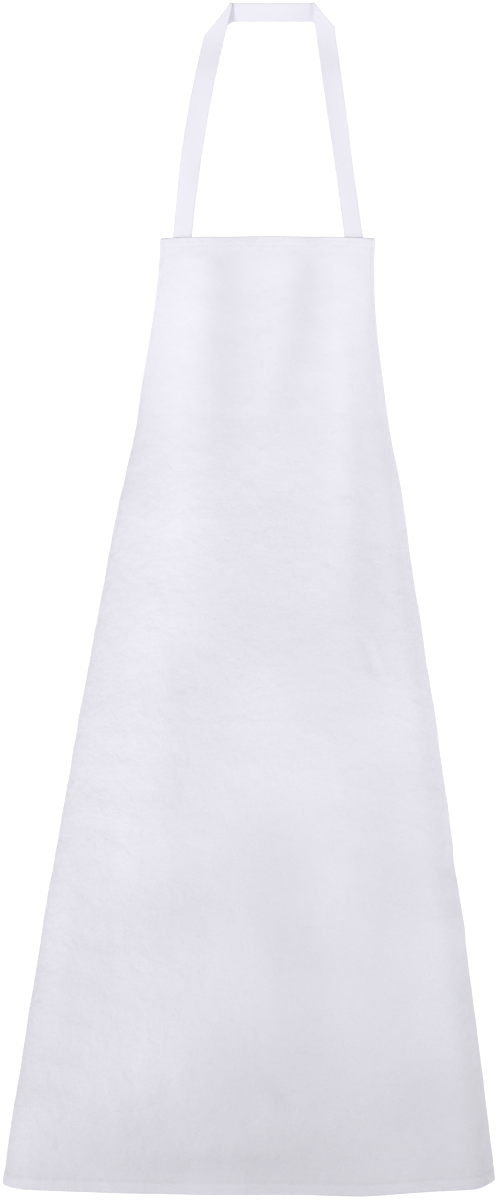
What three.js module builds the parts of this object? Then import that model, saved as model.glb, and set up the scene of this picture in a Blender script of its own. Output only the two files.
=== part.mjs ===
// Butcher apron: one shaped panel of white drill cloth with turned hems, a fixed neck loop of
// flat tape sewn behind the bib, and two tape ties sewn inside the waist corners.
//
// Millimetres. +Z up, the front faces -Y, +X is to the right as seen from the front.
// The origin is on the inner face of the neck tape, where the tape lies on the nape.
// The apron is shaped as it hangs on a wearer: the front is nearly flat, and both sides turn
// back round the hips.
import * as THREE from 'three';

const { lerp, smoothstep } = THREE.MathUtils;

// ---------------------------------------------------------------- driving dimensions
const CLOTH = 0.6; // thickness of the drill
const TAPE_THICKNESS = 0.9;
const TAPE_WIDTH = 22;
const LAYER_GAP = 0.3; // between two layers that lie on each other
const TAB_GAP = 0.5; // between a hem and the tape end that lies on it
const SWING_GAP = 1.8; // between the tape and its sewn end, so that the bib can swing

const BODY_LENGTH = 1088; // bib top edge to bottom hem, straight down
const BIB_HALF_CUT = 127; // flat half width of the bib at its top edge
const WAIST_DROP = 290; // bib top edge to the waist corners
const WAIST_HALF_CUT = 300; // flat half width at the waist corners
const HEM_HALF_CUT = 370; // flat half width at the bottom hem
const FOLD_RISE = 85; // waist corners up to the line where the skirt swings
const FOLD_DROP = WAIST_DROP - FOLD_RISE;

const TOP_HEM = 12; // width of each turned hem
const EDGE_HEM = 7;
const BOTTOM_HEM = 15;
const STITCH_INSET = 2; // stitching to the hem's inner edge
const THREAD_WIDTH = 0.7;
const THREAD_HEIGHT = 0.35;

const LOOP_HEIGHT = 281; // nape tape's middle to the bib top edge
const NECK_DEPTH = 107; // nape tape's inner face back from the tape's sewn ends
const STRAP_REACH = 100; // centre line to each sewn tape end, along the cloth
const NAPE_REACH = 60.5; // the nape's middle to each tape leg
const NAPE_SHIFT = 4; // the nape sits a little to the right of the bib
const LEFT_LEG_BOW = 5.5; // the left leg bows outwards
const LEFT_FOLD = 42; // height of the slanting fold where a leg meets the nape
const RIGHT_FOLD = 30;
const FOLD_TIP = 2; // tape left beside the top of that fold
const NECK_TAB = 28; // tape sewn down behind the bib

const TIE_LENGTH = 780;
const TIE_TAB = 34; // tape sewn down inside the waist corner
const TIE_DROP = 3; // waist corner down to the tie's upper edge
const TIE_END_FOLD = 10;

// ---------------------------------------------------------------- how the cloth hangs
const BIB_SPREAD = 142; // half width that the bib would wrap to
const ARMHOLE_FLARE = 0.235; // growth of the half width for each millimetre down
const SKIRT_FLARE = 0.149;
const SKIRT_BULGE = 4; // the skirt's sides swell out between waist and hem
const TURN_DROP = WAIST_DROP - 95; // where the sides start to flare
const FLARE_ROUNDING = 30;
const TURN_BACK = 11; // the bib's right edge is turned further back
const TURN_BACK_START = 60;
const TURN_BACK_END = 220;
const SIDE_RADIUS = 50; // turn of the cloth round each side
const TIGHT_RADIUS = 30; // the same on the turned-back bib edge
const FRONT_ANGLE = { bib: 0.2, waist: 0.42, hem: 0.22 }; // front's turn before the side turn
const WING_ANGLE = { waist: 2.44, hem: 1.75 }; // heading of the cloth behind the side turn
const SKIRT_LEAN = 70; // the skirt's front comes forward down to the hem
const SIDE_LEAN = 22; // the hem hangs to the left of the bib
const SIDE_LEAN_POWER = 0.8;

const armhole = new THREE.CubicBezierCurve( // half width against drop, on the flat cloth
	new THREE.Vector2(BIB_HALF_CUT, 0),
	new THREE.Vector2(BIB_HALF_CUT, 0.45 * WAIST_DROP),
	new THREE.Vector2(lerp(BIB_HALF_CUT, WAIST_HALF_CUT, 0.25), 0.81 * WAIST_DROP),
	new THREE.Vector2(WAIST_HALF_CUT, WAIST_DROP),
);

// Nought before x reaches 0, x well after it, and rounded between.
function softRamp(x) {
	return (x + Math.hypot(x, FLARE_ROUNDING)) / 2;
}

// The armhole curve at a drop: its half width, and how fast that grows.
function armholeAt(drop) {
	let low = 0;
	let high = 1;
	for (let step = 0; step < 40; step += 1) {
		const middle = (low + high) / 2;
		if (armhole.getPoint(middle).y < drop) low = middle;
		else high = middle;
	}
	const tangent = armhole.getTangent(low);
	return { half: armhole.getPoint(low).x, slope: tangent.x / tangent.y };
}

const sideSlope = (HEM_HALF_CUT - WAIST_HALF_CUT) / (BODY_LENGTH - WAIST_DROP);

// Flat half width of the cloth at a drop.
function halfCut(drop) {
	if (drop < WAIST_DROP) return armholeAt(drop).half;
	return WAIST_HALF_CUT + sideSlope * (drop - WAIST_DROP);
}

// A distance square to the cloth's edge, measured straight across instead.
function across(distance, drop) {
	const slope = drop < WAIST_DROP ? armholeAt(drop).slope : sideSlope;
	return distance * Math.hypot(1, slope);
}

// The cloth's level section on one side: a shallow front arc, a side turn, then a straight wing.
function section(drop, side) {
	const turned = side > 0 ? 1 - smoothstep(drop, TURN_BACK_START, TURN_BACK_END) : 0;
	const skirtShare = Math.min(Math.max((drop - WAIST_DROP) / (BODY_LENGTH - WAIST_DROP), 0), 1);
	const spread = BIB_SPREAD + ARMHOLE_FLARE * softRamp(drop - TURN_DROP)
		+ (SKIRT_FLARE - ARMHOLE_FLARE) * softRamp(drop - WAIST_DROP)
		+ SKIRT_BULGE * Math.sin(Math.PI * skirtShare) - TURN_BACK * turned;
	const turn = lerp(SIDE_RADIUS, TIGHT_RADIUS, turned);
	const upper = smoothstep(drop, 0, WAIST_DROP);
	const lower = smoothstep(drop, WAIST_DROP, BODY_LENGTH);
	const angle = lerp(lerp(FRONT_ANGLE.bib, FRONT_ANGLE.waist, upper), FRONT_ANGLE.hem, lower);
	const wing = lerp(WING_ANGLE.waist, WING_ANGLE.hem, lower);
	return { angle, turn, wing, front: (spread - turn) / Math.sin(angle) + turn };
}

// The point of the cloth's front face at a distance along the cloth from the centre line and a
// drop below the bib top, moved towards the wearer by depth.
function clothPoint(along, drop, depth = 0) {
	const side = Math.sign(along) || 1;
	const { angle, turn, wing, front } = section(drop, side);
	const frontLength = front * angle;
	const reach = Math.abs(along);
	const turned = Math.min(Math.max(reach - frontLength, 0) / turn, wing - angle);
	const straight = Math.max(reach - frontLength - turn * (wing - angle), 0);
	const frontHeading = Math.min(reach / front, angle);
	const heading = frontHeading + turned;
	const x = front * Math.sin(frontHeading) + turn * (Math.sin(heading) - Math.sin(frontHeading))
		+ straight * Math.cos(heading) - depth * Math.sin(heading);
	const y = front * (1 - Math.cos(frontHeading)) + straight * Math.sin(heading)
		+ turn * (Math.cos(frontHeading) - Math.cos(heading)) + depth * Math.cos(heading);
	const share = drop / BODY_LENGTH;
	const forward = SKIRT_LEAN * Math.max(drop - FOLD_DROP, 0) / (BODY_LENGTH - FOLD_DROP);
	return new THREE.Vector3(
		side * x - SIDE_LEAN * Math.max(share, 0) ** SIDE_LEAN_POWER,
		FRONT_Y + y - forward,
		-LOOP_HEIGHT - drop,
	);
}

// ---------------------------------------------------------------- layers behind the front face
const HEM_TOP = CLOTH + LAYER_GAP;
const HEM_LAYERS = [HEM_TOP, HEM_TOP + 2 * CLOTH];
const TAB_TOP = HEM_LAYERS[1] + TAB_GAP;
const TAB_LAYERS = [TAB_TOP, TAB_TOP + TAPE_THICKNESS];
const TAB_MIDDLE = (TAB_LAYERS[0] + TAB_LAYERS[1]) / 2;
const BARTACK_LAYERS = [TAB_LAYERS[1] + LAYER_GAP, TAB_LAYERS[1] + LAYER_GAP + THREAD_HEIGHT];
const THREAD_LAYERS = [-LAYER_GAP - THREAD_HEIGHT, -LAYER_GAP];
const bibTurn = section(0, -1);
const ROOT_DEPTH = bibTurn.front * (1 - Math.cos(STRAP_REACH / bibTurn.front)) + TAB_MIDDLE;
const FRONT_Y = -NECK_DEPTH - ROOT_DEPTH; // the bib's foremost line

// ---------------------------------------------------------------- solids
// The volume inside a closed surface, negative where its faces point inwards.
function signedVolume(points, index) {
	let sixfold = 0;
	for (let i = 0; i < index.length; i += 3) {
		const [a, b, c] = [points[index[i]], points[index[i + 1]], points[index[i + 2]]];
		sixfold += a.dot(new THREE.Vector3().crossVectors(b, c));
	}
	return sixfold / 6;
}

// A closed solid between two grids of points, rows by columns, that face each other.
function slab(outer, inner) {
	const rows = outer.length;
	const columns = outer[0].length;
	const positions = [...outer.flat(), ...inner.flat()].flatMap((p) => [p.x, p.y, p.z]);
	const index = [];
	const quad = (a, b, c, d) => index.push(a, b, c, a, c, d);
	const at = (row, column, back) => (back ? rows * columns : 0) + row * columns + column;
	for (let r = 0; r + 1 < rows; r += 1) {
		for (let c = 0; c + 1 < columns; c += 1) {
			quad(at(r, c, 0), at(r + 1, c, 0), at(r + 1, c + 1, 0), at(r, c + 1, 0));
			quad(at(r, c, 1), at(r, c + 1, 1), at(r + 1, c + 1, 1), at(r + 1, c, 1));
		}
		quad(at(r, 0, 0), at(r, 0, 1), at(r + 1, 0, 1), at(r + 1, 0, 0));
		quad(at(r, columns - 1, 0), at(r + 1, columns - 1, 0), at(r + 1, columns - 1, 1),
			at(r, columns - 1, 1));
	}
	for (let c = 0; c + 1 < columns; c += 1) {
		quad(at(0, c, 0), at(0, c + 1, 0), at(0, c + 1, 1), at(0, c, 1));
		quad(at(rows - 1, c, 0), at(rows - 1, c, 1), at(rows - 1, c + 1, 1), at(rows - 1, c + 1, 0));
	}
	if (signedVolume([...outer.flat(), ...inner.flat()], index) < 0) index.reverse();
	const geometry = new THREE.BufferGeometry();
	geometry.setAttribute('position', new THREE.Float32BufferAttribute(positions, 3));
	geometry.setIndex(index);
	return geometry;
}

// A layer of cloth from rows of [along, drop], lying between two depths behind the front face.
function layer(rows, [near, far]) {
	const grid = (depth) => rows.map((row) => row.map(([along, drop]) => clothPoint(along, drop, depth)));
	return slab(grid(near), grid(far));
}

// Even steps from one number to another, both ends included.
function steps(from, to, count) {
	return Array.from({ length: count + 1 }, (_, i) => lerp(from, to, i / count));
}

const COLUMNS = 37; // odd, so that one flat facet lies on the centre line

// The distances along the cloth at one drop: the edges, the hems' inner edges, and even steps.
function columnsAt(drop) {
	const edge = halfCut(drop);
	const inner = edge - across(EDGE_HEM, drop);
	return [-edge, ...steps(-inner, inner, COLUMNS), edge];
}

// Even steps no longer than a limit.
function stepsWithin(from, to, longest) {
	return steps(from, to, Math.ceil((to - from) / longest));
}

const HALF_GAP = LAYER_GAP / 2;
const BIB_ROW = 21.5; // longest facets of each stretch; the curved armhole needs short ones
const WAIST_ROW = 9.5;
const SKIRT_ROW = 56;
const bibDrops = [0, ...stepsWithin(TOP_HEM, FOLD_DROP - HALF_GAP, BIB_ROW)];
const waistDrops = stepsWithin(FOLD_DROP + HALF_GAP, WAIST_DROP, WAIST_ROW);
const skirtDrops = stepsWithin(WAIST_DROP, BODY_LENGTH - BOTTOM_HEM, SKIRT_ROW);

// The whole width of the cloth at each drop.
const fullRows = (drops) => drops.map((drop) => columnsAt(drop).map((along) => [along, drop]));

// A band along one edge of the cloth, between two distances in from that edge. Its columns run
// from left to right, as the panel's do, so that the facets of both lie parallel.
function edgeRows(drops, side, from, to) {
	return drops.map((drop) => {
		const alongs = [from, to].map((inset) => side * (halfCut(drop) - across(inset, drop)));
		return alongs.sort((a, b) => a - b).map((along) => [along, drop]);
	});
}

// The same drops, with the first and last moved in to leave room for what they meet.
function trimmed(drops, first, last) {
	return [drops[0] + first, ...drops.slice(1, -1), drops.at(-1) - last];
}

// ---------------------------------------------------------------- tape
// One leg of the neck loop, from the nape down to the sewn end behind the bib. It twists from
// the nape's plane to the bib's, and its top is cut slanting, where the tape folds over.
function neckLeg(side) {
	const rootZ = -LOOP_HEIGHT + SWING_GAP;
	const topZ = TAPE_WIDTH / 2;
	const fold = side < 0 ? LEFT_FOLD : RIGHT_FOLD;
	const cornerZ = topZ - fold;
	const topX = side * NAPE_REACH + NAPE_SHIFT;
	const rootX = clothPoint(side * STRAP_REACH, 0, TAB_MIDDLE).x;
	const bow = side < 0 ? -LEFT_LEG_BOW : 0;
	const topY = -LAYER_GAP - TAPE_THICKNESS / 2;
	const heights = [...steps(rootZ, cornerZ, 10), ...steps(cornerZ, topZ, 4).slice(1)];
	const rows = heights.map((z) => {
		const share = (z - rootZ) / (topZ - rootZ);
		const centre = lerp(rootX, topX, share) + bow * Math.sin(Math.PI * share);
		const cut = Math.max(z - cornerZ, 0) / fold * (TAPE_WIDTH - FOLD_TIP);
		return [TAPE_WIDTH / 2 - cut, -TAPE_WIDTH / 2].map((out) => {
			const root = clothPoint(side * (STRAP_REACH + out), 0, TAB_MIDDLE);
			return new THREE.Vector3(centre + side * out, lerp(root.y, topY, share), z);
		});
	});
	const shifted = (dy) => rows.map((row) => row.map((p) => new THREE.Vector3(p.x, p.y + dy, p.z)));
	return slab(shifted(-TAPE_THICKNESS / 2), shifted(TAPE_THICKNESS / 2));
}

// The run of tape behind the neck. Its slanting ends step back behind the folds of the legs.
function napeRun() {
	const half = TAPE_WIDTH / 2;
	const flatHalf = NAPE_REACH - half - 2 * LAYER_GAP; // stops short of the legs
	const ends = [[-half, NAPE_REACH - FOLD_TIP], [half, NAPE_REACH - half + FOLD_TIP / 2]];
	const face = (y) => ends.map(([z, endHalf]) => (
		[[-endHalf, LAYER_GAP], [-flatHalf, 0], [flatHalf, 0], [endHalf, LAYER_GAP]]
			.map(([x, step]) => new THREE.Vector3(NAPE_SHIFT + x, y + step, z))
	));
	return slab(face(0), face(TAPE_THICKNESS));
}

// The sewn end of a neck tape leg, flat on the inside of the bib.
function neckTab(side) {
	const rows = steps(HALF_GAP, NECK_TAB, 3).map((drop) => (
		steps(-TAPE_WIDTH / 2, TAPE_WIDTH / 2, 2).map((out) => [side * (STRAP_REACH + out), drop])
	));
	return layer(rows, TAB_LAYERS);
}

// The short dense row of stitches across the lower end of that tape.
function neckBartack(side) {
	const drop = NECK_TAB - 2 * STITCH_INSET;
	const half = TAPE_WIDTH / 2 - STITCH_INSET;
	const rows = [drop - STITCH_INSET / 2, drop + STITCH_INSET / 2].map((level) => (
		[-half, half].map((out) => [side * (STRAP_REACH + out), level])
	));
	return layer(rows, BARTACK_LAYERS);
}

const tieTop = WAIST_DROP + TIE_DROP;
const tieDrops = [tieTop, tieTop + TAPE_WIDTH];

// The sewn end of a waist tie, flat on the inside of the waist corner.
const tieTab = (side) => layer(edgeRows(tieDrops, side, 1, TIE_TAB), TAB_LAYERS);

// The short dense row of stitches that holds it, upright near the cloth's edge.
function tieBartack(side) {
	const drops = [tieDrops[0] + STITCH_INSET, tieDrops[1] - STITCH_INSET];
	const from = EDGE_HEM + STITCH_INSET;
	return layer(edgeRows(drops, side, from, from + STITCH_INSET), BARTACK_LAYERS);
}

// A plate of hanging tie tape beside the waist corner: its top and bottom as drops from the
// tie's upper edge, and its depth back from the tie's own front face.
function tiePlate(side, top, bottom, back) {
	const corner = clothPoint(side * halfCut(tieTop), tieTop, TAB_MIDDLE);
	const plate = new THREE.BoxGeometry(TAPE_WIDTH, TAPE_THICKNESS, bottom - top);
	const y = corner.y + TAPE_THICKNESS + LAYER_GAP + back;
	plate.translate(corner.x - side * TAPE_WIDTH / 2, y, corner.z - (top + bottom) / 2);
	return plate;
}

const waistTie = (side) => tiePlate(side, 0, TIE_LENGTH, 0);
const tieEndHem = (side) => (
	tiePlate(side, TIE_LENGTH - TIE_END_FOLD, TIE_LENGTH, TAPE_THICKNESS + LAYER_GAP)
);

// ---------------------------------------------------------------- finishes
const cloth = { color: '#e6e5ed', roughness: 0.9, metalness: 0 };
const tape = { color: '#edecf4', roughness: 0.85, metalness: 0 };
const thread = { color: '#f0eff5', roughness: 0.7, metalness: 0 };

const apron = new THREE.Group();

function add(name, geometry, finish) {
	const mesh = new THREE.Mesh(geometry, new THREE.MeshStandardMaterial(finish));
	mesh.name = name;
	apron.add(mesh);
}

// ---------------------------------------------------------------- the main panel and its hems
add('bib_panel', layer(fullRows(bibDrops), [0, CLOTH]), cloth);
add('skirt_panel', layer(fullRows([...waistDrops, ...skirtDrops.slice(1), BODY_LENGTH]), [0, CLOTH]), cloth);
add('top_hem', layer(fullRows([0, TOP_HEM]), HEM_LAYERS), cloth);
add('bottom_hem', layer(fullRows([BODY_LENGTH - BOTTOM_HEM, BODY_LENGTH]), HEM_LAYERS), cloth);

const topSeam = TOP_HEM - STITCH_INSET;
const bottomSeam = BODY_LENGTH - BOTTOM_HEM + STITCH_INSET;
const edgeSeam = [EDGE_HEM - STITCH_INSET, EDGE_HEM - STITCH_INSET + THREAD_WIDTH];
add('top_hem_stitching', layer(fullRows([topSeam - THREAD_WIDTH, topSeam]), THREAD_LAYERS), thread);
add('bottom_hem_stitching', layer(fullRows([bottomSeam, bottomSeam + THREAD_WIDTH]), THREAD_LAYERS), thread);

const hemRuns = [
	['armhole_hem_upper', 'armhole_stitching_upper', trimmed(bibDrops.slice(1), STITCH_INSET, 0)],
	['armhole_hem_lower', 'armhole_stitching_lower', trimmed(waistDrops, 0, LAYER_GAP)],
	['side_hem', 'side_stitching', trimmed(skirtDrops, 0, STITCH_INSET)],
];
const sides = [['left', -1], ['right', 1]];
for (const [word, side] of sides) {
	for (const [hem, seam, drops] of hemRuns) {
		add(`${hem}_${word}`, layer(edgeRows(drops, side, 0, EDGE_HEM), HEM_LAYERS), cloth);
		add(`${seam}_${word}`, layer(edgeRows(drops, side, ...edgeSeam), THREAD_LAYERS), thread);
	}
}

// ---------------------------------------------------------------- neck loop and waist ties
add('neck_tape_nape', napeRun(), tape);
for (const [word, side] of sides) {
	add(`neck_tape_${word}`, neckLeg(side), tape);
	add(`neck_tab_${word}`, neckTab(side), tape);
	add(`neck_bartack_${word}`, neckBartack(side), thread);
	add(`tie_tab_${word}`, tieTab(side), tape);
	add(`tie_bartack_${word}`, tieBartack(side), thread);
	add(`waist_tie_${word}`, waistTie(side), tape);
	add(`tie_end_hem_${word}`, tieEndHem(side), tape);
}

export default apron;
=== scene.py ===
"""Looks of the butcher apron: white drill cloth with turned hems, a tape neck loop and two tape ties.

The cloth is one sheet on the same hanging surface as the CAD panels, with folds, creases and
real turned hems. Shapes are worked out in millimetres and written in metres.
"""

import math

import bpy
import numpy as np
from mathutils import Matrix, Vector


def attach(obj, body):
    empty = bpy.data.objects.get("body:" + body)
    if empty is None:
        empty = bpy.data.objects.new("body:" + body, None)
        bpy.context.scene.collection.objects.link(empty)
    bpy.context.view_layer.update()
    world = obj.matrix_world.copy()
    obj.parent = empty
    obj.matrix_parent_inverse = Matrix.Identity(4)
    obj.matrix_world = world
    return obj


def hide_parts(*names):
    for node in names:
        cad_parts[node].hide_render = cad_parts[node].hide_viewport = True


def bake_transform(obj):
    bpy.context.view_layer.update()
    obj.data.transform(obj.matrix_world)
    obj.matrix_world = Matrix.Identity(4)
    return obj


MM = 0.001

# ------------------------------------------------------------------ sizes, mm
CLOTH = 0.6
TAPE_THICKNESS = 0.9
TAPE_WIDTH = 22
BODY_LENGTH = 1088
BIB_HALF_CUT = 127
WAIST_DROP = 290
WAIST_HALF_CUT = 300
HEM_HALF_CUT = 370
FOLD_DROP = 205
TOP_HEM = 12
EDGE_HEM = 7
BOTTOM_HEM = 15
STITCH_INSET = 2
LOOP_HEIGHT = 281
STRAP_REACH = 100
LEG_TOP_X = {-1: -53.7, 1: 64.5}
LEG_HALF = {-1: 12.2, 1: 11.3}  # half width of a neck leg, measured level
LEG_BOW = {-1: -6.3, 1: 0}
LEFT_FOLD = 42
RIGHT_FOLD = 30
FOLD_TIP = 2
NECK_TAB = 28
TIE_LENGTH = 780
TIE_TAB = 34
TIE_DROP = 3

BIB_SPREAD = 142
ARMHOLE_FLARE = 0.235
SKIRT_FLARE = 0.149
SKIRT_BULGE = 4
TURN_DROP = 195
FLARE_ROUNDING = 30
TURN_BACK = 11
TURN_BACK_START = 60
TURN_BACK_END = 220
SIDE_RADIUS = 50
TIGHT_RADIUS = 30
SKIRT_LEAN = 70
SIDE_LEAN = 22
SIDE_LEAN_POWER = 0.8
FRONT_Y = -119.735  # the bib's foremost line
TAB_MIDDLE = 3.05  # depth of the sewn tape ends behind the front face

HEM_FOLD = 0.6  # radius of a turned edge
HEM_GROOVE = 0.34  # how far a stitch line is drawn in
TAPE_GAP = 0.25  # between a tie and its turned-up end
STITCH_LENGTH = 2.9
STITCH_SHOWN = 0.78  # share of a stitch that lies on the surface
STITCH_RISE = 0.26
STITCH_SINK = 0.12
THREAD_RADIUS = 0.26
TACK_RADIUS = 0.24  # a tack is the dense zigzag that holds a tape end
TACK_WIDTH = 2.0
TACK_PITCH = 0.42
TACK_DEPTH = TAB_MIDDLE + 0.48
# painted shade and painted highlight: the share by which the colour is painted darker or lighter
PAINTED_SHADE_SHARE = 0.075
PAINTED_SHADE_DEPTH = 7.0  # painted shade: a hollow this deep is painted darker by the share above; painted highlight: a ridge this high is painted lighter by it
NAPE_PAINTED_SHADE_DEPTH = 10.5  # painted shade: the whole nape tape is painted as dark as a hollow this deep

# ------------------------------------------------------------------ the hanging surface


def lerp(a, b, share):
    return a + (b - a) * share


def smooth(x, start, end):
    share = np.clip((x - start) / (end - start), 0, 1)
    return share * share * (3 - 2 * share)


def soft_ramp(x):
    """Nought before x reaches 0, x well after it, and rounded between."""
    return (x + np.hypot(x, FLARE_ROUNDING)) / 2


def bell(x, centre, width):
    return np.exp(-(((x - centre) / width) ** 2) / 2)


_t = np.linspace(0, 1, 4001)
_weights = [(1 - _t) ** 3, 3 * _t * (1 - _t) ** 2, 3 * _t**2 * (1 - _t), _t**3]
_halves = (BIB_HALF_CUT, BIB_HALF_CUT, lerp(BIB_HALF_CUT, WAIST_HALF_CUT, 0.25), WAIST_HALF_CUT)
_drops = (0, 0.45 * WAIST_DROP, 0.81 * WAIST_DROP, WAIST_DROP)
ARMHOLE_HALF = sum(w * v for w, v in zip(_weights, _halves))
ARMHOLE_DROP = sum(w * v for w, v in zip(_weights, _drops))
ARMHOLE_SLOPE = np.gradient(ARMHOLE_HALF) / np.gradient(ARMHOLE_DROP)
SIDE_SLOPE = (HEM_HALF_CUT - WAIST_HALF_CUT) / (BODY_LENGTH - WAIST_DROP)


def half_cut(drop):
    """Flat half width of the cloth at a drop."""
    below = WAIST_HALF_CUT + SIDE_SLOPE * (drop - WAIST_DROP)
    return np.where(drop < WAIST_DROP, np.interp(drop, ARMHOLE_DROP, ARMHOLE_HALF), below)


def across(distance, drop):
    """A distance square to the cloth's edge, measured straight across instead."""
    above = distance * np.hypot(1, np.interp(drop, ARMHOLE_DROP, ARMHOLE_SLOPE))
    corner = distance * np.hypot(1, ARMHOLE_SLOPE[-1])
    corner = corner - (ARMHOLE_SLOPE[-1] - SIDE_SLOPE) * (drop - WAIST_DROP)
    below = np.maximum(distance * np.hypot(1, SIDE_SLOPE), corner)
    return np.where(drop < WAIST_DROP, above, below)


def surface(along, drop, depth=0.0):
    """Points of the cloth, as an (..., 3) array: along and drop on the flat cloth, depth inwards."""
    along, drop, depth = np.broadcast_arrays(*(np.asarray(v, float) for v in (along, drop, depth)))
    side = np.where(along < 0, -1.0, 1.0)
    turned = np.where(side > 0, 1 - smooth(drop, TURN_BACK_START, TURN_BACK_END), 0)
    skirt_share = np.clip((drop - WAIST_DROP) / (BODY_LENGTH - WAIST_DROP), 0, 1)
    spread = (
        BIB_SPREAD
        + ARMHOLE_FLARE * soft_ramp(drop - TURN_DROP)
        + (SKIRT_FLARE - ARMHOLE_FLARE) * soft_ramp(drop - WAIST_DROP)
        + SKIRT_BULGE * np.sin(np.pi * skirt_share)
        - TURN_BACK * turned
    )
    turn = lerp(SIDE_RADIUS, TIGHT_RADIUS, turned)
    lower = smooth(drop, WAIST_DROP, BODY_LENGTH)
    angle = lerp(lerp(0.2, 0.42, smooth(drop, 0, WAIST_DROP)), 0.22, lower)
    wing = lerp(2.44, 1.75, lower)
    front = (spread - turn) / np.sin(angle) + turn
    reach = np.abs(along)
    front_length = front * angle
    bend = np.minimum(np.maximum(reach - front_length, 0) / turn, wing - angle)
    straight = np.maximum(reach - front_length - turn * (wing - angle), 0)
    front_heading = np.minimum(reach / front, angle)
    heading = front_heading + bend
    x = front * np.sin(front_heading) + turn * (np.sin(heading) - np.sin(front_heading))
    x = x + straight * np.cos(heading) - depth * np.sin(heading)
    y = front * (1 - np.cos(front_heading)) + straight * np.sin(heading)
    y = y + turn * (np.cos(front_heading) - np.cos(heading)) + depth * np.cos(heading)
    forward = SKIRT_LEAN * np.maximum(drop - FOLD_DROP, 0) / (BODY_LENGTH - FOLD_DROP)
    lean = SIDE_LEAN * np.maximum(drop / BODY_LENGTH, 0) ** SIDE_LEAN_POWER
    return np.stack([side * x - lean, FRONT_Y + y - forward, -LOOP_HEIGHT - drop], -1)


# ------------------------------------------------------------------ folds and creases
# Each long fold is a ridge along a line on the front: (x, z) at its top and bottom, the bend of
# the line sideways at its middle, half width at each end, and height.
RIDGES = [
    ((-84, -262), (-98, -760), 0, 17, 34, 5.2),  # left ridge, bright on its left
    ((-46, -262), (-56, -660), -4, 14, 26, -4.2),  # the valley beside it
    ((8, -262), (-14, -560), 6, 16, 24, 3.0),
    ((50, -262), (6, -510), 4, 11, 14, -3.8),  # dark slanting hollow below the bib top
    ((80, -262), (84, -640), 4, 16, 20, 4.0),
    ((110, -380), (114, -790), 2, 13, 17, -3.8),
    ((-132, -700), (-176, -1340), 6, 30, 46, 4.2),
    ((-100, -740), (-104, -980), 4, 13, 17, -2.0),
    ((-10, -760), (-46, -1240), 10, 30, 44, 3.6),
    ((70, -820), (112, -1360), -8, 34, 50, 4.2),
    ((30, -1000), (54, -1362), 4, 26, 36, -3.2),
    ((150, -760), (196, -1340), 8, 22, 34, 3.2),
    ((-64, -1080), (-80, -1362), 0, 26, 38, 2.4),
]

# Short sharp creases: both ends (x, z), half width and height.
CREASES = [
    ((106, -734), (124, -786), 4.2, -2.8),
    ((112, -734), (130, -782), 4.5, 1.8),
    ((-154, -838), (40, -840), 1.6, 0.55),  # packing fold, level across the skirt
    ((36, -841), (176, -836), 1.6, 0.5),
    ((140, -825), (170, -823), 2.2, -0.5),
    ((-6, -1234), (32, -1288), 8, -2.4),
    ((-28, -1010), (24, -1110), 12, -1.0),
    ((-86, -960), (-50, -1000), 10, 0.8),
    ((-96, -470), (-100, -640), 5, 0.5),
]


def ridge(x, z, top, bottom, bow, width_top, width_bottom, height):
    """A long soft fold that fades in and out at its ends."""
    share = (z - top[1]) / (bottom[1] - top[1])
    inside = np.clip(share, 0, 1)
    line = lerp(top[0], bottom[0], inside) + bow * np.sin(np.pi * inside)
    fade = smooth(share, -0.12, 0.12) if top[1] < -300 else 1.0
    fade = fade * (1 - smooth(share, 0.62, 1.12))
    return height * fade * bell(x, line, lerp(width_top, width_bottom, inside))


def crease(x, z, start, end, width, height):
    run = np.array(end) - np.array(start)
    length = math.hypot(*run)
    share = ((x - start[0]) * run[0] + (z - start[1]) * run[1]) / length**2
    off = ((x - start[0]) * run[1] - (z - start[1]) * run[0]) / length
    return height * bell(off, 0, width) * smooth(share, -0.1, 0.25) * (1 - smooth(share, 0.75, 1.1))


def mottle(x, z, wavelength, seed, stretch=1.0):
    """Smooth irregular unevenness about 1 high, from plane waves of mixed headings."""
    random = np.random.RandomState(seed)
    total = 0
    for _ in range(14):
        heading = random.uniform(0, math.pi)
        length = wavelength * random.uniform(0.6, 1.8)
        phase = random.uniform(0, 2 * math.pi)
        total = total + np.sin(
            2 * math.pi * (x * math.cos(heading) + z * math.sin(heading) / stretch) / length + phase
        )
    return total / 3.7


def edge_distance(along, drop):
    """Distance to the nearest finished edge."""
    side = (half_cut(drop) - np.abs(along)) / across(1.0, drop)
    return np.minimum(np.minimum(side, drop), BODY_LENGTH - drop)


def broad_relief(x, z, drop):
    """The long folds, the creases and the widest unevenness."""
    total = sum(ridge(x, z, *fold) for fold in RIDGES)
    total = total + sum(crease(x, z, *line) for line in CREASES)
    total = total - 4.6 * bell(z, -1336 + 0.02 * x, 10) * bell(x, -62, 58)  # above the bottom hem
    return total + lerp(0.8, 1.8, smooth(drop, 330, 800)) * mottle(x, z, 120, 3, 1.6)


def relief(along, drop):
    """How far the cloth stands out in front of the smooth surface."""
    base = surface(along, drop)
    x, z = base[..., 0], base[..., 2]
    total = broad_relief(x, z, drop)
    low = smooth(drop, 330, 800)
    total = total + lerp(0.30, 0.60, low) * mottle(x, z, 46, 8, 1.0)
    total = total + lerp(0.07, 0.12, low) * mottle(x, z, 17, 21)
    # the bib's right edge turns back along a crease that starts at the strap
    total = total - 2.2 * bell(x, lerp(112, 137, smooth(-z, 290, 420)), 6) * (1 - smooth(-z, 400, 520))
    reach = np.abs(along)
    total = total * (1 - 0.75 * smooth(reach, 0.55 * half_cut(drop), 0.95 * half_cut(drop)))
    total = total * lerp(0.45, 1.0, smooth(drop, 0, 26)) * lerp(1.0, 0.55, smooth(drop, 1060, 1088))
    return total + hem_relief(along, drop)


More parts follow.
